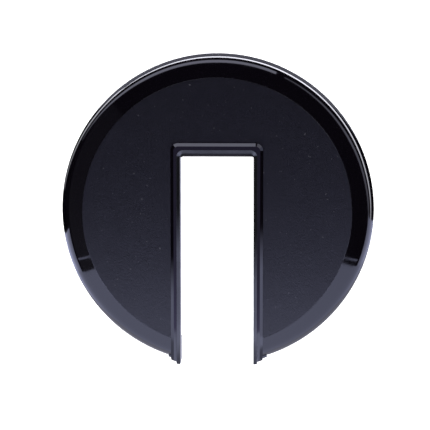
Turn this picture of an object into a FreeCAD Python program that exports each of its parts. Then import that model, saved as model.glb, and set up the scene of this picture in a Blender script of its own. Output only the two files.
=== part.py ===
import FreeCAD, Part
import os
import Sketcher
from FreeCAD import Placement, Rotation, Vector

# Round desk grommet with an open-ended cable slot, in millimetres.
# +Z points up out of the desk, z = 0 is the desk surface, the origin is the
# centre of the desk hole and the slot opens towards -Y.

DIMENSIONS = [
    # how far joined blocks overlap and how far cuts start outside the part
    ("overlap", 0.1),
    ("cut_margin", 1.0),
    # cover
    ("rim_radius", 50.0),
    ("rim_bottom", 1.0),
    ("rim_width", 2.9),
    ("rim_land", 1.2),
    ("rim_arc_centre", 35.905),
    ("rim_arc_height", -3.93),
    ("bevel_foot_radius", 46.51),
    ("bevel_foot", 6.68),
    ("field_radius", 42.6),
    ("field_top", 10.6),
    ("field_edge_round", 0.3),
    ("shell_thickness", 2.0),
    ("shell_inner_radius", 41.8),
    ("shell_break_radius", 46.0),
    ("shell_break", 4.4),
    ("bead_crest", 11.6),
    ("bead_half_width", 14.6),
    ("bead_end", 22.05),
    ("bead_corner", 2.4),
    ("bead_slope_width", 0.95),
    ("bead_slope_height", 0.72),
    ("slot_wall_bottom", 5.4),
    ("bead_root_rear", 40.4),
    ("bead_reach", 49.3),
    # slot and liner
    ("slot_half_width", 11.6),
    ("slot_end", 18.8),
    ("liner_wall", 1.25),
    ("liner_gap", 0.05),
    ("liner_corner", 1.1),
    ("liner_slope_width", 1.1),
    ("liner_slope_height", 0.83),
    ("liner_bottom", 4.5),
    ("liner_hook_top", 5.3),
    ("liner_hook_width", 1.6),
    ("liner_leg_bottom", 0.5),
    ("liner_leg_start", 41.0),
    ("liner_reach", 50.0),
    ("mouth_reach", 56.0),
    # guide rails
    ("rail_inner", 13.5),
    ("rail_outer", 15.95),
    ("rail_bottom", 1.6),
    ("rail_top", 4.45),
    ("rail_front", 40.0),
    ("rail_rear", 39.5),
    ("ledge_inner", 12.0),
    ("ledge_top", 2.5),
    ("stop_inner", 12.95),
    ("stop_face", 38.2),
    ("foot_bottom", 0.25),
    ("foot_top", 1.75),
    ("foot_root", 36.0),
    ("foot_reach", 50.5),
    ("foot_gap", 0.2),
    ("lug_outer", 20.5),
    ("lug_bottom", 2.6),
    ("lug_half_length", 3.0),
    ("lug_rear_y", 8.0),
    ("lug_front_y", 12.0),
    ("rail_screw_x", 18.3),
    ("rail_boss_radius", 2.5),
    # shutter
    ("gate_half_width", 13.3),
    ("gate_front", 17.3),
    ("gate_rear", 40.2),
    ("gate_horn_inner", 11.85),
    ("gate_horn_front", 14.0),
    ("gate_bottom", 2.7),
    ("gate_top", 4.3),
    ("gate_corner", 1.1),
    ("pocket_floor", 12.3),
    ("pocket_front", 26.0),
    ("pocket_rear", 38.0),
    ("grip_half_width", 7.0),
    ("grip_depth", 1.6),
    ("grip_bottom", 1.1),
    ("leaf_thickness", 0.25),
    ("leaf_seat", 12.4),
    ("leaf_crest", 13.42),
    ("leaf_end_gap", 0.4),
    ("leaf_flat", 1.6),
    ("leaf_ramp", 3.2),
    ("leaf_bottom", 2.95),
    ("leaf_top", 4.05),
    # base sleeve
    ("flange_radius", 45.5),
    ("flange_thickness", 1.4),
    ("collar_radius", 39.5),
    ("collar_depth", 4.0),
    ("tube_radius", 39.1),
    ("tube_bore", 37.3),
    ("tube_depth", 24.0),
    ("tube_lead_in", 0.6),
    ("mouth_half_width", 16.3),
    ("window_half_width", 3.0),
    ("window_top", 5.5),
    ("window_sill", 21.0),
    ("ear_radius", 4.2),
    ("ear_distance", 33.0),
    ("ear_root", 0.8),
    ("ear_hole", 1.7),
    ("boss_radius", 3.2),
    ("boss_bottom", 1.45),
    # pad under the rim
    ("pad_inner", 46.0),
    ("pad_outer", 49.4),
    ("pad_thickness", 0.95),
    # spring clips
    ("clip_half_width", 2.6),
    ("clip_thickness", 0.4),
    ("clip_tab_radius", 36.45),
    ("clip_tab_bottom", 22.0),
    ("clip_bridge_top", 20.0),
    ("clip_bend_radius", 38.4),
    ("clip_bend_inner", 0.2),
    ("clip_crest_radius", 40.8),
    ("clip_crest_depth", 10.0),
    ("clip_tip_radius", 38.9),
    ("clip_tip_depth", 6.4),
    # screws
    ("base_screw_head", 2.8),
    ("base_screw_head_height", 1.9),
    ("base_screw_shank", 1.4),
    ("base_screw_tip", 6.2),
    ("base_pilot", 1.45),
    ("rail_screw_head", 2.0),
    ("rail_screw_head_height", 1.2),
    ("rail_screw_shank", 0.85),
    ("rail_screw_tip", 6.3),
    ("rail_pilot", 0.9),
    ("rail_lug_hole", 1.05),
    ("recess_length", 2.4),
    ("recess_width", 0.6),
    ("recess_depth", 0.7),
    ("head_gap", 0.05),
]

SQUARE_COUNT = 4
SQUARE_START = 45.0
TOLERANCE = 1e-4

document = FreeCAD.newDocument("desk_grommet")


def make_sheet():
    sheet = document.addObject("Spreadsheet::Sheet", "Dims")
    for row, (alias, size) in enumerate(DIMENSIONS, start=1):
        sheet.set(f"A{row}", alias)
        sheet.set(f"B{row}", str(size))
        sheet.setAlias(f"B{row}", alias)
    document.recompute()
    return sheet


SHEET = make_sheet()


def formula(text):
    """Turn bare dimension names into references to the sheet."""
    words = []
    word = ""
    for letter in text + " ":
        if letter.isalnum() or letter in "_.":
            word += letter
            continue
        is_name = word[:1].isalpha() and letter != "("
        words.append(f"Dims.{word}" if is_name else word)
        words.append(letter)
        word = ""
    return "".join(words).strip()


def size_of(text):
    """The present value of a formula, for a sketch's first guess."""
    return float(SHEET.evalExpression(formula(text)))


def near(value, target):
    return abs(value - target) < TOLERANCE


def new_body(label):
    body = document.addObject("PartDesign::Body", label)
    body.Label = label
    return body


def origin_feature(body, role):
    return next(item for item in body.Origin.OriginFeatures if item.Role == role)


def new_sketch(body, name, plane, height, turn):
    sketch = body.newObject("Sketcher::SketchObject", name)
    sketch.AttachmentSupport = (origin_feature(body, plane), [""])
    sketch.MapMode = "FlatFace"
    sketch.AttachmentOffset = Placement(Vector(0, 0, 0), Rotation(Vector(0, 0, 1), turn))
    sketch.setExpression("AttachmentOffset.Base.z", formula(height))
    return sketch


def bind(sketch, constraint, name, text):
    index = sketch.addConstraint(constraint)
    sketch.renameConstraint(index, name)
    sketch.setExpression(f"Constraints.{name}", formula(text))


def place_point(sketch, geometry, end, point, name):
    """Tie one point of a sketch to the origin by two sheet formulas."""
    for kind, axis, text in (("DistanceX", "x", point[0]), ("DistanceY", "y", point[1])):
        constraint = Sketcher.Constraint(kind, -1, 1, geometry, end, size_of(text))
        bind(sketch, constraint, f"{name}{axis}", text)


def polygon(body, name, points, plane="XY_Plane", height="0", turn=0.0):
    """A closed outline, run anticlockwise; each point is a pair of formulas.

    A point with a second pair starts a quarter arc about that centre.
    """
    sketch = new_sketch(body, name, plane, height, turn)
    corners = [Vector(size_of(point[0]), size_of(point[1]), 0) for point in points]
    count = len(corners)
    ends = []
    for index, point in enumerate(points):
        start, finish = corners[index], corners[(index + 1) % count]
        ends.append((1, 2))
        if len(point) == 2:
            sketch.addGeometry(Part.LineSegment(start, finish), False)
            continue
        centre = Vector(size_of(point[2]), size_of(point[3]), 0)
        middle = centre + ((start + finish) / 2 - centre).normalize() * (start - centre).Length
        if (start - centre).cross(finish - centre).z < 0:
            ends[index] = (2, 1)
            start, finish = finish, start
        sketch.addGeometry(Part.Arc(start, middle, finish), False)
    for index, point in enumerate(points):
        following = (index + 1) % count
        joint = Sketcher.Constraint("Coincident", index, ends[index][1], following, ends[following][0])
        sketch.addConstraint(joint)
        place_point(sketch, index, ends[index][0], point[:2], f"p{index}")
        if len(point) > 2:
            level_chord = near(corners[index].y, corners[following].y)
            kind, text = ("DistanceY", point[3]) if level_chord else ("DistanceX", point[2])
            constraint = Sketcher.Constraint(kind, -1, 1, index, 3, size_of(text))
            bind(sketch, constraint, f"centre{index}", text)
    return sketch


def slot_shape(half_width, end, mouth, corner):
    """Outline of a slot that opens towards -Y and has two rounded corners."""
    inset, shoulder = f"{half_width} - ({corner})", f"{end} - ({corner})"
    return [
        (f"-1 * ({half_width})", f"-1 * ({mouth})"),
        (half_width, f"-1 * ({mouth})"),
        (half_width, shoulder, inset, shoulder),
        (inset, end),
        (f"-1 * ({inset})", end, f"-1 * ({inset})", shoulder),
        (f"-1 * ({half_width})", shoulder),
    ]


def front_of_circle(x, radius):
    """The y of a circle about the origin at x, on the slot's side."""
    return f"-1 * sqrt(({radius}) ^ 2 - ({x}) ^ 2)"


def round_mouth(outline, half_width, radius):
    """Give a slot outline a front edge that follows a circle about the origin."""
    start = front_of_circle(half_width, radius)
    return [(f"-1 * ({half_width})", start, "0", "0"), (half_width, start)] + outline[2:]


def mouth_block(half_width, rear, radius):
    """Outline across the slot's mouth: a block with a front edge on a circle."""
    start = front_of_circle(half_width, radius)
    left = f"-1 * ({half_width})"
    return [(left, start, "0", "0"), (half_width, start), (half_width, rear), (left, rear)]


def strip_to_circle(low, high, rear, radius, sign):
    """A strip along Y between two x, ending in front on a circle about the origin."""
    near_x, far_x = (low, high) if sign > 0 else (f"-1 * ({high})", f"-1 * ({low})")
    return [
        (near_x, front_of_circle(near_x, radius), "0", "0"),
        (far_x, front_of_circle(far_x, radius)),
        (far_x, rear),
        (near_x, rear),
    ]


def circles(body, name, centres, radii, height="0", turn=0.0):
    """Concentric circles of each radius round each centre."""
    sketch = new_sketch(body, name, "XY_Plane", height, turn)
    geometry = 0
    for centre in centres:
        for radius in radii:
            middle = Vector(size_of(centre[0]), size_of(centre[1]), 0)
            circle = Part.Circle(middle, Vector(0, 0, 1), size_of(radius))
            sketch.addGeometry(circle, False)
            place_point(sketch, geometry, 3, centre, f"c{geometry}")
            constraint = Sketcher.Constraint("Radius", geometry, size_of(radius))
            bind(sketch, constraint, f"r{geometry}", radius)
            geometry += 1
    return sketch


def rectangle(x_low, x_high, y_low, y_high):
    return [(x_low, y_low), (x_high, y_low), (x_high, y_high), (x_low, y_high)]


def pad(body, sketch, name, length):
    feature = body.newObject("PartDesign::Pad", name)
    feature.Profile = sketch
    feature.setExpression("Length", formula(length))
    document.recompute()
    return feature


def cut_down(body, sketch, name, length):
    """Pocket below the sketch, checked to take material away."""
    before = body.Shape.Volume
    feature = body.newObject("PartDesign::Pocket", name)
    feature.Profile = sketch
    feature.setExpression("Length", formula(length))
    document.recompute()
    if body.Shape.Volume > before - TOLERANCE:
        raise RuntimeError(f"{name} removes nothing")
    return feature


def turned(body, sketch, name, kind="PartDesign::Revolution"):
    feature = body.newObject(kind, name)
    feature.Profile = sketch
    feature.ReferenceAxis = (origin_feature(body, "Z_Axis"), [""])
    feature.Angle = 360.0
    document.recompute()
    return feature


def around_hole(body, name, originals):
    """Repeat features at four places round the Z axis."""
    feature = body.newObject("PartDesign::PolarPattern", name)
    feature.Originals = originals
    feature.Axis = (origin_feature(body, "Z_Axis"), [""])
    feature.Angle = 360.0
    feature.Occurrences = SQUARE_COUNT
    body.Tip = feature
    document.recompute()
    return feature


def edge_names(shape, wanted):
    names = []
    for number, edge in enumerate(shape.Edges, start=1):
        if wanted(edge):
            names.append(f"Edge{number}")
    return names


def dress(body, name, kind, base, wanted):
    """Start a fillet or chamfer on the edges of a feature that a test picks out."""
    names = edge_names(base.Shape, wanted)
    if not names:
        raise RuntimeError(f"{name} finds no edge")
    feature = body.newObject(kind, name)
    feature.Base = (base, names)
    return feature


def round_edges(body, name, base, wanted, radius):
    feature = dress(body, name, "PartDesign::Fillet", base, wanted)
    feature.setExpression("Radius", formula(radius))
    document.recompute()


def slope_edges(body, name, base, wanted, width, height):
    """Chamfer upper edges, unlike across the top and down the side."""
    feature = dress(body, name, "PartDesign::Chamfer", base, wanted)
    feature.ChamferType = "Two distances"
    feature.setExpression("Size", formula(height))
    feature.setExpression("Size2", formula(width))
    document.recompute()


def ring_at(radius_text, height_text):
    """Test for the full circle of one radius at one height."""
    radius, height = size_of(radius_text), size_of(height_text)

    def wanted(edge):
        curve = edge.Curve
        is_circle = curve.TypeId == "Part::GeomCircle" and len(edge.Vertexes) == 1
        return is_circle and near(curve.Radius, radius) and near(curve.Center.z, height)

    return wanted


def crest_edges(height_text, half_width_text, end_text):
    """Test for the level edges that run round one side of the slot's border."""
    height, half_width = size_of(height_text), size_of(half_width_text)
    end, behind_mouth = size_of(end_text), -size_of("rail_front")

    def on_border(point):
        return near(abs(point.x), half_width) or near(point.y, end)

    def wanted(edge):
        ends = [vertex.Point for vertex in edge.Vertexes]
        level = all(near(point.z, height) for point in ends)
        at_mouth = all(point.y < behind_mouth for point in ends)
        return level and not at_mouth and all(on_border(point) for point in ends)

    return wanted


def make_cover():
    """Domed cover: flat field, falling bevel, rounded rim and raised slot border."""
    body = new_body("cover_plate")
    underside = "field_top - shell_thickness"
    dome = [
        ("0", underside),
        ("shell_inner_radius", underside),
        ("shell_break_radius", "shell_break"),
        ("rim_radius - rim_width", "rim_bottom"),
        ("rim_radius", "rim_bottom"),
        ("rim_radius", "rim_land", "rim_arc_centre", "rim_arc_height"),
        ("bevel_foot_radius", "bevel_foot"),
        ("field_radius", "field_top"),
        ("0", "field_top"),
    ]
    turned(body, polygon(body, "dome_profile", dome, plane="XZ_Plane"), "dome")
    notch_side = "rail_outer + foot_gap"
    notch = rectangle(f"-1 * ({notch_side})", notch_side, "-1 * mouth_reach", "-1 * rail_front")
    notch_sketch = polygon(body, "foot_notch_outline", notch, height="foot_top + foot_gap")
    shell = cut_down(body, notch_sketch, "foot_notch", "foot_top + foot_gap")

    field_ring = ring_at("field_radius", "field_top")
    round_edges(body, "field_edge", shell, field_ring, "field_edge_round")

    border = slot_shape("bead_half_width", "bead_end", "mouth_reach", "bead_corner")
    border = round_mouth(border, "bead_half_width", "bead_reach")
    border_sketch = polygon(body, "bead_outline", border, height="slot_wall_bottom")
    pad(body, border_sketch, "bead", "bead_crest - slot_wall_bottom")
    root = mouth_block("bead_half_width", "-1 * bead_root_rear", "bead_reach")
    root_sketch = polygon(body, "bead_root_outline", root, height="foot_top + foot_gap")
    bead = pad(body, root_sketch, "bead_root", "slot_wall_bottom + overlap - foot_top - foot_gap")
    outer_crest = crest_edges("bead_crest", "bead_half_width", "bead_end")
    slope_edges(body, "bead_slope", bead, outer_crest, "bead_slope_width", "bead_slope_height")

    side = "slot_half_width + liner_wall + liner_gap"
    end = "slot_end + liner_wall + liner_gap"
    corner = "liner_corner + liner_wall + liner_gap"
    opening = slot_shape(side, end, "mouth_reach + 2 * cut_margin", corner)
    opening_sketch = polygon(body, "slot_outline", opening, height="bead_crest + cut_margin")
    cut_down(body, opening_sketch, "slot", "bead_crest + 2 * cut_margin")

    boss_radii = ["boss_radius", "base_pilot"]
    boss_centre = [("ear_distance", "0")]
    boss_sketch = circles(body, "boss_ring", boss_centre, boss_radii, "boss_bottom", SQUARE_START)
    boss = pad(body, boss_sketch, "boss", f"{underside} - boss_bottom + overlap")
    around_hole(body, "bosses", [boss])
    rail_centres = rail_screw_places()
    rail_radii = ["rail_boss_radius", "rail_pilot"]
    rail_sketch = circles(body, "rail_boss_rings", rail_centres, rail_radii, "rail_top + head_gap")
    pad(body, rail_sketch, "rail_bosses", f"{underside} - rail_top - head_gap + overlap")
    return body


def rail_screw_places():
    places = []
    for side in ("rail_screw_x", "-1 * rail_screw_x"):
        places.append((side, "lug_rear_y"))
        places.append((side, "-1 * lug_front_y"))
    return places


def make_liner():
    """U-shaped edge guard of the slot, hooked under the cover's slot wall."""
    body = new_body("slot_liner")
    side = "slot_half_width + liner_wall"
    end = "slot_end + liner_wall"
    wall = slot_shape(side, end, "mouth_reach", "liner_corner + liner_wall")
    wall = round_mouth(wall, side, "liner_reach")
    wall_sketch = polygon(body, "wall_outline", wall, height="liner_bottom")
    pad(body, wall_sketch, "wall", "bead_crest - liner_bottom")

    hook_side = f"{side} + liner_hook_width"
    hook = rectangle(f"-1 * ({hook_side})", hook_side, "-1 * rail_front", f"{end} + liner_hook_width")
    hook_sketch = polygon(body, "hook_outline", hook, height="liner_bottom")
    pad(body, hook_sketch, "hook", "liner_hook_top - liner_bottom")

    legs = mouth_block(side, "-1 * liner_leg_start", "liner_reach")
    legs_sketch = polygon(body, "legs_outline", legs, height="liner_leg_bottom")
    pad(body, legs_sketch, "legs", "liner_bottom - liner_leg_bottom")

    inner = slot_shape("slot_half_width", "slot_end", "mouth_reach + 2 * cut_margin", "liner_corner")
    inner_sketch = polygon(body, "inner_outline", inner, height="bead_crest + cut_margin")
    channel = cut_down(body, inner_sketch, "channel", "bead_crest + 2 * cut_margin")
    inner_crest = crest_edges("bead_crest", "slot_half_width", "slot_end")
    slope_edges(body, "inner_slope", channel, inner_crest, "liner_slope_width", "liner_slope_height")
    return body


def make_rail(label, sign):
    """One guide rail: web, ledge under the shutter, end stop, foot and two lugs."""
    body = new_body(label)

    def across(low, high, front, rear):
        return rectangle(f"{sign} * ({low})", f"{sign} * ({high})", front, rear)

    def block(name, outline, bottom, top):
        sketch = polygon(body, f"{name}_outline", outline, height=bottom)
        return pad(body, sketch, name, f"{top} - {bottom}")

    web = across("rail_inner", "rail_outer", "-1 * rail_front", "rail_rear")
    block("web", web, "rail_bottom", "rail_top")
    ledge = across("ledge_inner", "rail_inner + overlap", "-1 * rail_front", "rail_rear")
    block("ledge", ledge, "rail_bottom", "ledge_top")
    stop = across("stop_inner", "rail_inner + overlap", "-1 * rail_front", "-1 * stop_face")
    block("stop", stop, "rail_bottom", "rail_top")
    foot = strip_to_circle("rail_inner", "rail_outer", "-1 * foot_root", "foot_reach", sign)
    block("foot", foot, "foot_bottom", "foot_top")
    for name, middle in (("rear_lug", "lug_rear_y"), ("front_lug", "-1 * lug_front_y")):
        low, high = f"{middle} - lug_half_length", f"{middle} + lug_half_length"
        block(name, across("rail_outer - overlap", "lug_outer", low, high), "lug_bottom", "rail_top")
    centres = [(f"{sign} * rail_screw_x", "lug_rear_y"), (f"{sign} * rail_screw_x", "-1 * lug_front_y")]
    holes = circles(body, "lug_hole_rings", centres, ["rail_lug_hole"], "rail_top + cut_margin")
    cut_down(body, holes, "lug_holes", "rail_top + cut_margin")
    return body


def make_gate():
    """Flat shutter with a hollowed nose, two side pockets and a finger grip."""
    body = new_body("slide_gate")
    shoulder, inset = "gate_front - gate_corner", "gate_horn_inner - gate_corner"
    rear_shoulder, rear_inset = "gate_rear - gate_corner", "gate_half_width - gate_corner"
    outline = [
        (f"-1 * ({inset})", "gate_front"),
        (inset, "gate_front", inset, shoulder),
        ("gate_horn_inner", shoulder),
        ("gate_horn_inner", "gate_horn_front"),
        ("gate_half_width", "gate_horn_front"),
        ("gate_half_width", "pocket_front"),
        ("pocket_floor", "pocket_front"),
        ("pocket_floor", "pocket_rear"),
        ("gate_half_width", "pocket_rear"),
        ("gate_half_width", rear_shoulder, rear_inset, rear_shoulder),
        (rear_inset, "gate_rear"),
        (f"-1 * ({rear_inset})", "gate_rear", f"-1 * ({rear_inset})", rear_shoulder),
        ("-1 * gate_half_width", rear_shoulder),
        ("-1 * gate_half_width", "pocket_rear"),
        ("-1 * pocket_floor", "pocket_rear"),
        ("-1 * pocket_floor", "pocket_front"),
        ("-1 * gate_half_width", "pocket_front"),
        ("-1 * gate_half_width", "gate_horn_front"),
        ("-1 * gate_horn_inner", "gate_horn_front"),
        ("-1 * gate_horn_inner", shoulder, f"-1 * ({inset})", shoulder),
    ]
    sketch = polygon(body, "plate_outline", outline, height="gate_bottom")
    pad(body, sketch, "plate", "gate_top - gate_bottom")
    grip = rectangle("-1 * grip_half_width", "grip_half_width", "gate_front", "gate_front + grip_depth")
    grip_sketch = polygon(body, "grip_outline", grip, height="grip_bottom")
    pad(body, grip_sketch, "grip", "gate_bottom - grip_bottom + overlap")
    return body


def make_leaf(label, sign):
    """Bowed strip that presses the shutter's edge against its rail."""
    body = new_body(label)
    front = "pocket_front + leaf_end_gap"
    rear = "pocket_rear - leaf_end_gap"
    seat_in, seat_out = "leaf_seat", "leaf_seat + leaf_thickness"
    crest_in, crest_out = "leaf_crest - leaf_thickness", "leaf_crest"
    points = [
        (seat_out, front),
        (seat_out, f"{front} + leaf_flat"),
        (crest_out, f"{front} + leaf_flat + leaf_ramp"),
        (crest_out, f"{rear} - leaf_flat - leaf_ramp"),
        (seat_out, f"{rear} - leaf_flat"),
        (seat_out, rear),
        (seat_in, rear),
        (seat_in, f"{rear} - leaf_flat"),
        (crest_in, f"{rear} - leaf_flat - leaf_ramp"),
        (crest_in, f"{front} + leaf_flat + leaf_ramp"),
        (seat_in, f"{front} + leaf_flat"),
        (seat_in, front),
    ]
    outline = [(f"{sign} * ({x})", y) for x, y in points]
    sketch = polygon(body, "leaf_outline", outline, height="leaf_bottom")
    pad(body, sketch, "leaf", "leaf_top - leaf_bottom")
    return body


def make_base():
    """Flanged sleeve for the desk hole, cut open at the slot's mouth."""
    body = new_body("base_sleeve")
    profile = [
        ("tube_bore", "-1 * tube_depth"),
        ("tube_radius - tube_lead_in", "-1 * tube_depth"),
        ("tube_radius", "-1 * tube_depth + 2 * tube_lead_in"),
        ("tube_radius", "-1 * collar_depth"),
        ("collar_radius", "-1 * collar_depth"),
        ("collar_radius", "0"),
        ("flange_radius", "0"),
        ("flange_radius", "flange_thickness"),
        ("tube_bore", "flange_thickness"),
    ]
    turned(body, polygon(body, "sleeve_profile", profile, plane="XZ_Plane"), "sleeve")
    neck = rectangle("ear_distance", "tube_bore + ear_root", "-1 * ear_radius", "ear_radius")
    neck_sketch = polygon(body, "ear_neck_outline", neck, turn=SQUARE_START)
    ear_neck = pad(body, neck_sketch, "ear_neck", "flange_thickness")
    ear_centre = [("ear_distance", "0")]
    ear_sketch = circles(body, "ear_ring", ear_centre, ["ear_radius"], turn=SQUARE_START)
    ear = pad(body, ear_sketch, "ear", "flange_thickness")
    above = "flange_thickness + cut_margin"
    hole_sketch = circles(body, "ear_hole_ring", ear_centre, ["ear_hole"], above, SQUARE_START)
    ear_hole = cut_down(body, hole_sketch, "ear_hole", "flange_thickness + 2 * cut_margin")
    around_hole(body, "ears", [ear_neck, ear, ear_hole])

    outside = "collar_radius + cut_margin"
    window = rectangle("ear_distance", outside, "-1 * window_half_width", "window_half_width")
    window_sketch = polygon(body, "window_outline", window, height="-1 * window_top", turn=SQUARE_START)
    window_cut = cut_down(body, window_sketch, "window", "window_sill - window_top")
    around_hole(body, "windows", [window_cut])

    gap = rectangle("-1 * mouth_half_width", "mouth_half_width", "-1 * mouth_reach", "0")
    gap_sketch = polygon(body, "mouth_outline", gap, height=above)
    cut_down(body, gap_sketch, "mouth", "flange_thickness + tube_depth + 2 * cut_margin")
    return body


def make_pad():
    """C-shaped anti-slip ring under the cover's rim."""
    body = new_body("rim_pad")
    ring_sketch = circles(body, "ring_outline", [("0", "0")], ["pad_outer", "pad_inner"])
    pad(body, ring_sketch, "ring", "pad_thickness")
    gap = rectangle("-1 * mouth_half_width", "mouth_half_width", "-1 * mouth_reach", "0")
    gap_sketch = polygon(body, "mouth_outline", gap, height="pad_thickness + cut_margin")
    cut_down(body, gap_sketch, "mouth", "pad_thickness + 2 * cut_margin")
    return body


def make_clip(label, azimuth):
    """Spring-steel clip: a tab hooked over the window's sill and a bowed finger."""
    body = new_body(label)
    strip = "clip_thickness"
    bend = "clip_bend_radius"
    bend_height = "clip_bend_inner - clip_bridge_top"
    points = [
        ("clip_tab_radius", "-1 * clip_tab_bottom"),
        (f"clip_tab_radius + {strip}", "-1 * clip_tab_bottom"),
        (f"clip_tab_radius + {strip}", f"-1 * clip_bridge_top - {strip}"),
        (bend, f"-1 * clip_bridge_top - {strip}", bend, bend_height),
        (f"{bend} + clip_bend_inner + {strip}", bend_height),
        ("clip_crest_radius", "-1 * clip_crest_depth"),
        ("clip_tip_radius", "-1 * clip_tip_depth"),
        (f"clip_tip_radius - {strip}", "-1 * clip_tip_depth"),
        (f"clip_crest_radius - {strip}", "-1 * clip_crest_depth"),
        (f"{bend} + clip_bend_inner", bend_height, bend, bend_height),
        (bend, "-1 * clip_bridge_top"),
        ("clip_tab_radius", "-1 * clip_bridge_top"),
    ]
    sketch = polygon(body, "strip_outline", points, plane="XZ_Plane", height="-1 * clip_half_width")
    pad(body, sketch, "strip", "2 * clip_half_width")
    body.Placement = Placement(Vector(0, 0, 0), Rotation(Vector(0, 0, 1), azimuth))
    return body


def bound_cylinder(name, radius, height, base):
    cylinder = document.addObject("Part::Cylinder", name)
    cylinder.setExpression("Radius", formula(radius))
    cylinder.setExpression("Height", formula(height))
    cylinder.setExpression("Placement.Base.z", formula(base))
    return cylinder


def bound_bar(name, length, width, height, base):
    bar = document.addObject("Part::Box", name)
    bar.setExpression("Length", formula(length))
    bar.setExpression("Width", formula(width))
    bar.setExpression("Height", formula(height))
    bar.setExpression("Placement.Base.x", formula(f"-1 * ({length}) / 2"))
    bar.setExpression("Placement.Base.y", formula(f"-1 * ({width}) / 2"))
    bar.setExpression("Placement.Base.z", formula(base))
    return bar


def make_screw(name, kind, seat, place):
    """One pan-head screw driven upwards, head under the seat height."""
    head_height = f"{kind}_head_height"
    underside = f"{seat} - {head_height}"
    head = bound_cylinder(f"{name}_head", f"{kind}_head", head_height, underside)
    shank_length = f"{kind}_tip - ({underside}) - overlap"
    shank = bound_cylinder(f"{name}_shank", f"{kind}_shank", shank_length, f"{underside} + overlap")
    blank = document.addObject("Part::Fuse", f"{name}_blank")
    blank.Base = head
    blank.Tool = shank
    bars = []
    base = f"{underside} - cut_margin"
    arms = (("a", "recess_length", "recess_width"), ("b", "recess_width", "recess_length"))
    for suffix, length, width in arms:
        bars.append(bound_bar(f"{name}_bar_{suffix}", length, width, "recess_depth + cut_margin", base))
    cross = document.addObject("Part::Fuse", f"{name}_cross")
    cross.Base = bars[0]
    cross.Tool = bars[1]
    screw = document.addObject("Part::Cut", name)
    screw.Base = blank
    screw.Tool = cross
    screw.setExpression("Placement.Base.x", formula(place[0]))
    screw.setExpression("Placement.Base.y", formula(place[1]))
    return screw


def make_screw_group(label, kind, seat, places):
    group = document.addObject("Part::Compound", label)
    group.Label = label
    group.Links = [make_screw(f"{kind}_{number}", kind, seat, place) for number, place in enumerate(places)]
    return group


def ear_places():
    diagonal = "ear_distance * sqrt(0.5)"
    return [(f"{x} * {diagonal}", f"{y} * {diagonal}") for x in (1, -1) for y in (1, -1)]


def make_all():
    parts = [make_cover(), make_liner(), make_pad(), make_base()]
    parts.append(make_rail("guide_rail_right", 1))
    parts.append(make_rail("guide_rail_left", -1))
    parts.append(make_gate())
    parts.append(make_leaf("gate_spring_right", 1))
    parts.append(make_leaf("gate_spring_left", -1))
    for number, corner in enumerate(("rear_right", "rear_left", "front_left", "front_right")):
        parts.append(make_clip(f"spring_clip_{corner}", SQUARE_START + number * 360.0 / SQUARE_COUNT))
    parts.append(make_screw_group("rail_screws", "rail_screw", "lug_bottom - head_gap", rail_screw_places()))
    parts.append(make_screw_group("base_screws", "base_screw", "0 - head_gap", ear_places()))
    return parts


def check(parts):
    for item in document.Objects:
        if "Invalid" in item.State or "Error" in item.State:
            raise RuntimeError(f"{item.Name} failed: {item.getStatusString()}")
    for part in parts:
        if part.Shape.isNull() or not part.Shape.isValid():
            raise RuntimeError(f"{part.Label} has no valid shape")


def main():
    parts = make_all()
    document.recompute()
    check(parts)
    os.makedirs("parts", exist_ok=True)
    for part in parts:
        part.Shape.exportStep(f"parts/{part.Label}.step")
        box = part.Shape.BoundBox
        print(f"{part.Label}: {len(part.Shape.Solids)} solid, {part.Shape.Volume:.1f} mm3, "
              f"x {box.XMin:.2f}..{box.XMax:.2f} y {box.YMin:.2f}..{box.YMax:.2f} "
              f"z {box.ZMin:.2f}..{box.ZMax:.2f}")


main()
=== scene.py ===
import math

import bpy
from mathutils import Matrix, Vector


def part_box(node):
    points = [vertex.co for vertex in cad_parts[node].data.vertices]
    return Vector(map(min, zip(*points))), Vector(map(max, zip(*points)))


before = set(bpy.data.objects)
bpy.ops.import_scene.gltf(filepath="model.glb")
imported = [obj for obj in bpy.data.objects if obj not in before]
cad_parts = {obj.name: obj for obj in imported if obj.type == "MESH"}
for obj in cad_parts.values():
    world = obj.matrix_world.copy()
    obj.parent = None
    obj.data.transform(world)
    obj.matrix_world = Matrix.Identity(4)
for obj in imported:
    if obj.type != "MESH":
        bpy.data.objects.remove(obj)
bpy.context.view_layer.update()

MM = 0.001
FLOOR_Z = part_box("base_sleeve")[0].z
CREST_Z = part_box("cover_plate")[1].z
BEAD_RISE = 1.0 * MM
FIELD_Z = CREST_Z - BEAD_RISE

PLASTIC_IOR = 1.5
FOAM_IOR = 1.45

# ---------------------------------------------------------------- nodes

# Places of the colour sockets on a Mix node.
MIX_FIRST, MIX_SECOND, MIX_RESULT = 6, 7, 2


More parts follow.
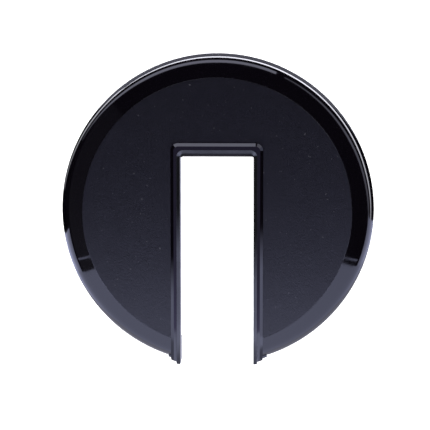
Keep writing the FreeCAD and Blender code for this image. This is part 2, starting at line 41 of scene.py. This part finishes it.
class Graph:
    """A short way to write a material's node tree."""

    def __init__(self, tree):
        self.tree = tree
        tree.nodes.clear()

    def add(self, kind, **values):
        node = self.tree.nodes.new(kind)
        for name, value in values.items():
            setattr(node, name, value)
        return node

    def link(self, source, target):
        self.tree.links.new(source, target)

    def feed(self, socket, value):
        """Link a socket, or set a plain value on it."""
        if isinstance(value, bpy.types.NodeSocket):
            self.link(value, socket)
        else:
            socket.default_value = value

    def math(self, operation, first, second=0.0):
        node = self.add("ShaderNodeMath", operation=operation)
        for socket, value in zip(node.inputs, (first, second)):
            self.feed(socket, value)
        return node.outputs[0]

    def place(self):
        """Position on the object, in metres."""
        return self.add("ShaderNodeTexCoord").outputs["Object"]

    def height(self, place):
        node = self.add("ShaderNodeSeparateXYZ")
        self.link(place, node.inputs[0])
        return node.outputs["Z"]

    def ramp(self, value, low, high, out_low=0.0, out_high=1.0):
        """Smooth step from one value to another."""
        node = self.add("ShaderNodeMapRange", interpolation_type="SMOOTHSTEP")
        for socket, number in zip(node.inputs, (value, low, high, out_low, out_high)):
            self.feed(socket, number)
        return node.outputs[0]

    def noise(self, place, size, detail=2.0, roughness=0.5):
        """Noise whose features are about as large as size, in metres."""
        node = self.add("ShaderNodeTexNoise")
        self.link(place, node.inputs["Vector"])
        node.inputs["Scale"].default_value = 1.0 / size
        node.inputs["Detail"].default_value = detail
        node.inputs["Roughness"].default_value = roughness
        return node.outputs["Fac"]

    def cells(self, place, size):
        """Distance to the nearest of many scattered points, size apart."""
        node = self.add("ShaderNodeTexVoronoi", feature="F1")
        self.link(place, node.inputs["Vector"])
        node.inputs["Scale"].default_value = 1.0 / size
        return node.outputs["Distance"]

    def mix(self, factor, first, second):
        node = self.add("ShaderNodeMix", data_type="RGBA")
        self.feed(node.inputs["Factor"], factor)
        self.feed(node.inputs[MIX_FIRST], first)
        self.feed(node.inputs[MIX_SECOND], second)
        return node.outputs[MIX_RESULT]

    def bump(self, height, distance, strength=1.0, normal=None):
        node = self.add("ShaderNodeBump")
        node.inputs["Distance"].default_value = distance
        self.feed(node.inputs["Strength"], strength)
        self.link(height, node.inputs["Height"])
        if normal is not None:
            self.link(normal, node.inputs["Normal"])
        return node.outputs[0]

    def finish(self, color, roughness, normal=None, **fixed):
        """Principled shader and output; fixed sets its other sockets by name."""
        shader = self.add("ShaderNodeBsdfPrincipled")
        self.feed(shader.inputs["Base Color"], color)
        self.feed(shader.inputs["Roughness"], roughness)
        for name, value in fixed.items():
            shader.inputs[name.replace("_", " ")].default_value = value
        if normal is not None:
            self.link(normal, shader.inputs["Normal"])
        self.output(shader)

    def output(self, shader):
        output = self.add("ShaderNodeOutputMaterial")
        self.link(shader.outputs[0], output.inputs["Surface"])


def new_material(name):
    material = bpy.data.materials.new(name)
    material.use_nodes = True
    return material, Graph(material.node_tree)


def grey(value, blue=1.0):
    """A grey, with its blue part scaled."""
    return (value, value, value * blue, 1.0)


# ---------------------------------------------------------------- materials


def cover_material():
    """Black ABS: spark-textured field, polished bevel, rim and bead."""
    material, graph = new_material("cover_abs")
    dark_tone = (0.0003, 0.0002, 0.0010, 1.0)
    light_tone = (0.0022, 0.0019, 0.0038, 1.0)
    speck_tone = (0.04, 0.04, 0.046, 1.0)
    polished_tone = (0.0016, 0.0012, 0.0022, 1.0)

    place = graph.place()
    above_field = graph.math("SUBTRACT", graph.height(place), FIELD_Z)
    off_field = graph.math("ABSOLUTE", above_field)
    on_field = graph.ramp(off_field, low=0.03 * MM, high=0.10 * MM, out_low=1.0, out_high=0.0)

    cloud = graph.noise(place, 3.0 * MM, detail=4.0, roughness=0.65)
    specks = graph.ramp(graph.noise(place, 0.8 * MM, detail=1.0), low=0.745, high=0.79)
    field_color = graph.mix(specks, graph.mix(cloud, dark_tone, light_tone), speck_tone)
    color = graph.mix(on_field, polished_tone, field_color)

    grain = graph.noise(place, 0.7 * MM, detail=4.0, roughness=0.7)
    smear = graph.noise(place, 6.0 * MM, detail=4.0, roughness=0.65)
    polished = graph.ramp(smear, low=0.35, high=0.75, out_low=0.045, out_high=0.10)
    sparked = graph.ramp(grain, low=0.3, high=0.7, out_low=0.37, out_high=0.51)
    rougher = graph.math("MULTIPLY", on_field, graph.math("SUBTRACT", sparked, polished))
    roughness = graph.math("ADD", rougher, polished)

    pit_depth = 0.6
    pits = graph.math("MULTIPLY", graph.cells(place, 0.42 * MM), pit_depth)
    mottle = graph.noise(place, 1.6 * MM, roughness=0.6)
    waves = graph.noise(place, 14.0 * MM, detail=1.0, roughness=0.4)
    normal = graph.bump(mottle, 0.035 * MM, on_field)
    normal = graph.bump(graph.math("ADD", grain, pits), 0.035 * MM, on_field, normal)
    normal = graph.bump(waves, 0.012 * MM, normal=normal)
    graph.finish(color, roughness, normal, IOR=PLASTIC_IOR)
    return material


def polished_material(name, tone, smoothest, roughest):
    """Smooth moulded plastic with faint flow marks and handling smears."""
    material, graph = new_material(name)
    place = graph.place()
    smear = graph.noise(place, 5.0 * MM, detail=3.0, roughness=0.6)
    roughness = graph.ramp(smear, low=0.3, high=0.75, out_low=smoothest, out_high=roughest)
    flow = graph.noise(place, 2.5 * MM)
    color = graph.mix(flow, grey(tone, blue=1.25), grey(tone * 1.5, blue=1.25))
    waves = graph.noise(place, 10.0 * MM, detail=1.0, roughness=0.4)
    graph.finish(color, roughness, graph.bump(waves, 0.012 * MM), IOR=PLASTIC_IOR)
    return material


def satin_material(name, tone, smoothest, roughest):
    """Moulded plastic with a fine matt grain."""
    material, graph = new_material(name)
    place = graph.place()
    grain = graph.noise(place, 0.35 * MM, detail=4.0, roughness=0.6)
    flow = graph.noise(place, 12.0 * MM, detail=3.0, roughness=0.6)
    color = graph.mix(flow, grey(tone, blue=1.2), grey(tone * 1.7, blue=1.2))
    roughness = graph.ramp(grain, low=0.3, high=0.7, out_low=smoothest, out_high=roughest)
    graph.finish(color, roughness, graph.bump(grain, 0.015 * MM), IOR=PLASTIC_IOR)
    return material


def foam_material():
    """Closed-cell foam: open bubbles cut through on the surface; their pits are painted darker as
    painted shade.
    """
    material, graph = new_material("pad_foam")
    bubble_pits_and_shade = graph.ramp(graph.cells(graph.place(), 0.45 * MM), low=0.15, high=0.45)
    # The darker colour inside the bubble pits is painted shade, not the foam's own colour; the bump
    # gives the pits their shape.
    color = graph.mix(bubble_pits_and_shade, grey(0.004), grey(0.014))
    graph.finish(color, roughness=0.9, normal=graph.bump(bubble_pits_and_shade, 0.08 * MM), IOR=FOAM_IOR)
    return material


def steel_material(name, color, squeeze, smoothest, roughest):
    """Bright metal with rolling or turning marks, long where squeeze is small."""
    material, graph = new_material(name)
    place = graph.place()
    stretch = graph.add("ShaderNodeMapping")
    graph.link(place, stretch.inputs["Vector"])
    stretch.inputs["Scale"].default_value = squeeze
    lines = graph.noise(stretch.outputs[0], 0.25 * MM, detail=3.0, roughness=0.6)
    stain = graph.noise(place, 2.0 * MM, detail=3.0, roughness=0.6)
    stained = tuple(part * 0.75 for part in color)
    tone = graph.mix(stain, stained + (1.0,), color + (1.0,))
    roughness = graph.ramp(lines, low=0.3, high=0.7, out_low=smoothest, out_high=roughest)
    graph.finish(tone, roughness, graph.bump(lines, 0.0015 * MM), Metallic=1.0)
    return material


def dress(node, material):
    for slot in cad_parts[node].material_slots:
        slot.material = material


def dress_all():
    """Give every CAD node its material; the clips and leaf springs are steel."""
    base = satin_material("base_plastic", 0.012, smoothest=0.38, roughest=0.52)
    gate = satin_material("gate_plastic", 0.010, smoothest=0.32, roughest=0.45)
    rail = polished_material("rail_plastic", 0.006, smoothest=0.10, roughest=0.18)
    liner = polished_material("liner_abs", 0.004, smoothest=0.10, roughest=0.2)
    strip_steel, zinc = (0.62, 0.62, 0.64), (0.72, 0.71, 0.66)
    spring = steel_material("spring_steel", strip_steel, (1.0, 1.0, 0.06), smoothest=0.22, roughest=0.36)
    screw = steel_material("screw_steel", zinc, (0.5, 0.5, 1.0), smoothest=0.25, roughest=0.4)
    looks = {
        "cover_plate": cover_material(),
        "slot_liner": liner,
        "rim_pad": foam_material(),
        "base_sleeve": base,
        "guide_rail_left": rail,
        "guide_rail_right": rail,
        "slide_gate": gate,
        "rail_screws": screw,
        "base_screws": screw,
    }
    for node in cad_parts:
        dress(node, looks.get(node, spring))


# ---------------------------------------------------------------- stage

# Light cards show only in gloss, and gloss doesn't see the floor, so cards may hang below it.
FAR = 3.0
COOL = (0.95, 1.0, 1.45)
NEUTRAL = (0.94, 0.95, 1.2)
WHITE = (0.97, 0.97, 1.08)
DUSK = (1.0, 0.92, 1.75)


def make_floor():
    """Plain pale floor under the sleeve."""
    size = 6.0
    gap = 0.05 * MM
    bpy.ops.mesh.primitive_plane_add(size=size, location=(0, 0, FLOOR_Z - gap))
    floor = bpy.context.object
    floor.name = "floor"
    material, graph = new_material("pale_floor")
    tone = graph.mix(graph.noise(graph.place(), 0.3), grey(0.86), grey(0.9))
    glow, brightness = grey(1.0), 0.85
    graph.finish(tone, 0.6, Specular_IOR_Level=0.2, Emission_Color=glow, Emission_Strength=brightness)
    floor.data.materials.append(material)
    floor.visible_glossy = False


def glow_material(name, color):
    """Emission whose strength is stored at the card's corners."""
    material, graph = new_material(name)
    strength = graph.add("ShaderNodeAttribute", attribute_name="glow")
    glow = graph.add("ShaderNodeEmission")
    glow.inputs["Color"].default_value = color + (1.0,)
    graph.link(strength.outputs["Fac"], glow.inputs["Strength"])
    graph.output(glow)
    return material


def card(name, rows, color):
    """A light card seen only in gloss; rows of (point, strength), same length."""
    width = len(rows[0])
    corners = [corner for row in rows for corner in row]
    faces = []
    for row in range(len(rows) - 1):
        for column in range(width - 1):
            corner = row * width + column
            faces.append((corner, corner + 1, corner + width + 1, corner + width))
    mesh = bpy.data.meshes.new(name)
    mesh.from_pydata([point for point, strength in corners], [], faces)
    glow = mesh.attributes.new("glow", "FLOAT", "POINT")
    glow.data.foreach_set("value", [strength for point, strength in corners])
    mesh.materials.append(glow_material(name, color))
    patch = bpy.data.objects.new(name, mesh)
    bpy.context.collection.objects.link(patch)
    patch.visible_camera = False
    patch.visible_diffuse = False
    patch.visible_shadow = False
    patch.visible_transmission = False
    patch.visible_volume_scatter = False


def near_point(x, y, z):
    """A point in metres, given in millimetres."""
    return (x * MM, y * MM, z * MM)


def sky_point(azimuth, elevation, radius=FAR):
    """A point on a large sphere round the object, from angles in degrees."""
    turn = math.radians(azimuth)
    rise = math.radians(elevation)
    across = radius * math.cos(rise)
    return (across * math.cos(turn), across * math.sin(turn), radius * math.sin(rise))


def between(stations, value):
    """Values at one place along a list of (place, value, value, ...)."""
    for low, high in zip(stations, stations[1:]):
        if value <= high[0]:
            share = (value - low[0]) / (high[0] - low[0])
            share = min(1.0, max(0.0, share))
            return [start + (end - start) * share for start, end in zip(low[1:], high[1:])]
    return list(stations[-1][1:])


def ribbon(name, stations, color, soft=0.25, radius=FAR):
    """Curved strip of light; stations give azimuth, low, high and strength."""
    first, last = stations[0][0], stations[-1][0]
    fewest, column_width = 8, 2.0
    columns = max(fewest, int((last - first) / column_width))
    levels = ((0.0, 0.0), (soft, 1.0), (1.0 - soft, 1.0), (1.0, 0.0))
    rows = []
    for level, share in levels:
        row = []
        for column in range(columns + 1):
            azimuth = first + (last - first) * column / columns
            low, high, strength = between(stations, azimuth)
            point = sky_point(azimuth, low + (high - low) * level, radius)
            row.append((point, strength * share))
        rows.append(row)
    card(name, rows, color)


def sky_card(name, levels, columns, color, fade=0):
    """Far card; levels give elevation, two end azimuths and strength.

    Its ends dim over as many columns as fade says.
    """
    rows = []
    for elevation, first, last, strength in levels:
        row = []
        for column in range(columns + 1):
            azimuth = first + (last - first) * column / columns
            share = min(1.0, column / fade, (columns - column) / fade) if fade else 1.0
            row.append((sky_point(azimuth, elevation), strength * share))
        rows.append(row)
    card(name, rows, color)


def flat_card(name, corners, strength, color):
    """Near card of one strength; four corners in millimetres, in turn."""
    first, second, third, fourth = [(near_point(*corner), strength) for corner in corners]
    card(name, [[first, second], [fourth, third]], color)


def soft_light(name, place, size, power):
    """An area light aimed at the object."""
    data = bpy.data.lights.new(name, "AREA")
    data.shape = "SQUARE"
    data.size = size
    data.energy = power
    light = bpy.data.objects.new(name, data)
    light.location = place
    light.rotation_mode = "QUATERNION"
    light.rotation_quaternion = (-Vector(place)).to_track_quat("-Z", "Y")
    light.visible_glossy = False
    bpy.context.collection.objects.link(light)


def make_world():
    """Even white light from all sides, left out of reflections."""
    world = bpy.data.worlds.new("studio")
    world.use_nodes = True
    background = world.node_tree.nodes["Background"]
    background.inputs["Color"].default_value = (1.0, 1.0, 1.0, 1.0)
    background.inputs["Strength"].default_value = 1.0
    world.cycles_visibility.glossy = False
    bpy.context.scene.world = world


def light_behind():
    """Softboxes beyond the far edge: a bright strip and dimmer broad ones."""
    strip = [(-14, -36, -30, 1.5), (8, -32, -26, 5.0), (30, -31, -25.2, 9.0),
             (57, -29.8, -24, 16.0), (92, -30, -24.5, 15.0), (123, -32, -27, 12.0),
             (145, -36, -31, 6.0), (162, -41, -36, 2.5), (182, -48, -43, 1.0)]
    broad_left = [(66, -16, -5, 2.2), (92, -16, -4, 2.2), (123, -19, -8, 2.1),
                  (136, -21, -13, 1.8), (149, -25, -20, 1.2), (160, -30, -25, 0.2)]
    dim_left = [(140, -18, 9, 0.04), (175, -18, 9, 0.05), (200, -18, 9, 0.08), (214, -18, 9, 0.08)]
    broad_right = [(-12, -26, -20, 0.4), (5, -21, -13, 0.8), (23, -17, -8, 1.2),
                   (45, -13, -6, 1.0), (62, -11, -6, 0.7)]
    ribbon("strip", strip, WHITE)
    ribbon("broad_left", broad_left, NEUTRAL, soft=0.2)
    ribbon("dim_left", dim_left, NEUTRAL, radius=FAR * 1.2)
    ribbon("broad_right", broad_right, NEUTRAL, soft=0.2)


def light_side(side, edge, turn, reach, gap):
    """The table's lower wing past one end, with a thin upright strip above it."""
    top = -21
    splay = 0.175
    fall = ((-60, 1.7), (-45, 1.5), (-33, 1.2), (top, 1.0))
    wing = []
    for elevation, strength in fall:
        across = reach + (elevation - top) * splay
        wing.append((elevation, edge, edge + turn * across, strength))
    sky_card(f"table_{side}", wing, 8, COOL)
    strip_width, strip_strength = 0.8, 0.9
    start = edge + turn * gap
    stop = start + turn * strip_width
    strip = [(elevation, start, stop, strip_strength) for elevation in (-14, -9, -4, 2)]
    sky_card(f"slit_{side}", strip, 2, COOL)


def light_front():
    """The pale table in front of the slot's mouth, with darkness past both ends."""
    left, right = -149.8, -28.6
    rise = ((-60, 1.6), (-45, 1.2), (-33, 0.9), (-21, 0.9), (-12, 1.05), (-6, 1.15), (2, 1.1))
    sky_card("table", [(level, left, right, strength) for level, strength in rise], 60, COOL)
    light_side("right", right, turn=1.0, reach=19.4, gap=2.0)
    light_side("left", left, turn=-1.0, reach=16.7, gap=4.7)


def upright_card(name, side, start, top, strength):
    """Card beside the cover, for the raised border; its rear end fades in."""
    foot = 12.5
    fade, length = 16, 130
    rows = []
    for z in (foot, top):
        rear = (near_point(side, start, z), 0.0)
        lit = (near_point(side, start - fade, z), strength)
        front = (near_point(side, start - length, z), strength)
        rows.append([rear, lit, front])
    card(name, rows, COOL)


def light_near():
    """Cards close to the cover: the table's edge and lights for the raised border."""
    front, half_width = -56, 100
    rows = []
    for z, strength in ((20, 0.9), (29, 0.9), (31, 2.6), (110, 2.6)):
        rows.append([(near_point(x, front, z), strength) for x in (-half_width, half_width)])
    card("near_table", rows, COOL)
    rear, side = 100, 150
    upright_card("near_left", -side, start=-34, top=70, strength=1.85)
    upright_card("near_right", side, start=-22, top=80, strength=1.9)
    rear_corners = [(-90, rear, 34), (12.5, rear, 34), (12.5, rear, 47), (-90, rear, 47)]
    outer_corners = [(33, rear, 36), (side, rear, 52), (side, rear, 95), (33, rear, 47)]
    side_corners = [(side, 26, 47), (side, rear, 52), (side, rear, 95), (side, 26, 62)]
    flat_card("near_rear", rear_corners, 2.7, NEUTRAL)
    flat_card("near_corner", outer_corners, 1.5, NEUTRAL)
    flat_card("near_side", side_corners, 0.9, COOL)


def light_above():
    """Faint glow overhead that brightens towards the slot's mouth."""
    left, right = -175, -5
    rise = ((70, 0.0), (75, 0.5), (77, 0.9), (79, 0.95), (80.3, 0.5), (82, 0.26), (89.9, 0.24))
    sky_card("ceiling", [(level, left, right, strength) for level, strength in rise], 17, DUSK, fade=3)


def light_below():
    """Pale ground close round the object, as its steepest edges show it."""
    left, right = -60 * MM, 68 * MM
    strength = 0.65
    z = FLOOR_Z + 0.1 * MM
    rows = []
    for radius in (1 * MM, 30 * MM, 60 * MM, 95 * MM):
        ring = []
        for angle in range(0, 361, 10):
            x = radius * math.cos(math.radians(angle))
            y = radius * math.sin(math.radians(angle))
            ring.append(((min(max(x, left), right), y, z), strength))
        rows.append(ring)
    card("ground_glow", rows, NEUTRAL)


def light_scene():
    make_world()
    make_floor()
    soft_light("key", (-0.15, 0.35, 0.55), size=0.5, power=2.5)
    soft_light("fill", (0.3, -0.45, 0.5), size=0.6, power=2.0)
    light_behind()
    light_front()
    light_near()
    light_above()
    light_below()


# ---------------------------------------------------------------- camera


def make_camera():
    """Almost straight down, the slot's mouth at the bottom of the picture."""
    lean_x = math.radians(1.8)
    lean_y = math.radians(6.8)
    distance = 0.60
    aim = Vector(near_point(-0.85, -1.7, 2.0))
    back = Vector((math.sin(lean_x), math.sin(lean_y), 1.0))
    back.z = math.sqrt(1.0 - back.x**2 - back.y**2)
    right = Vector((0, 1, 0)).cross(back).normalized()
    up = back.cross(right)
    data = bpy.data.cameras.new("camera")
    data.sensor_width = 36.0
    data.lens = 156.8
    data.clip_start = 0.01
    data.clip_end = 20.0
    camera = bpy.data.objects.new("camera", data)
    camera.rotation_mode = "QUATERNION"
    camera.rotation_quaternion = Matrix((right, up, back)).transposed().to_quaternion()
    camera.location = aim + back * distance
    bpy.context.collection.objects.link(camera)
    bpy.context.scene.camera = camera


make_camera()
light_scene()
dress_all()

settings = bpy.context.scene.view_settings
settings.view_transform = "Standard"
settings.look = "None"
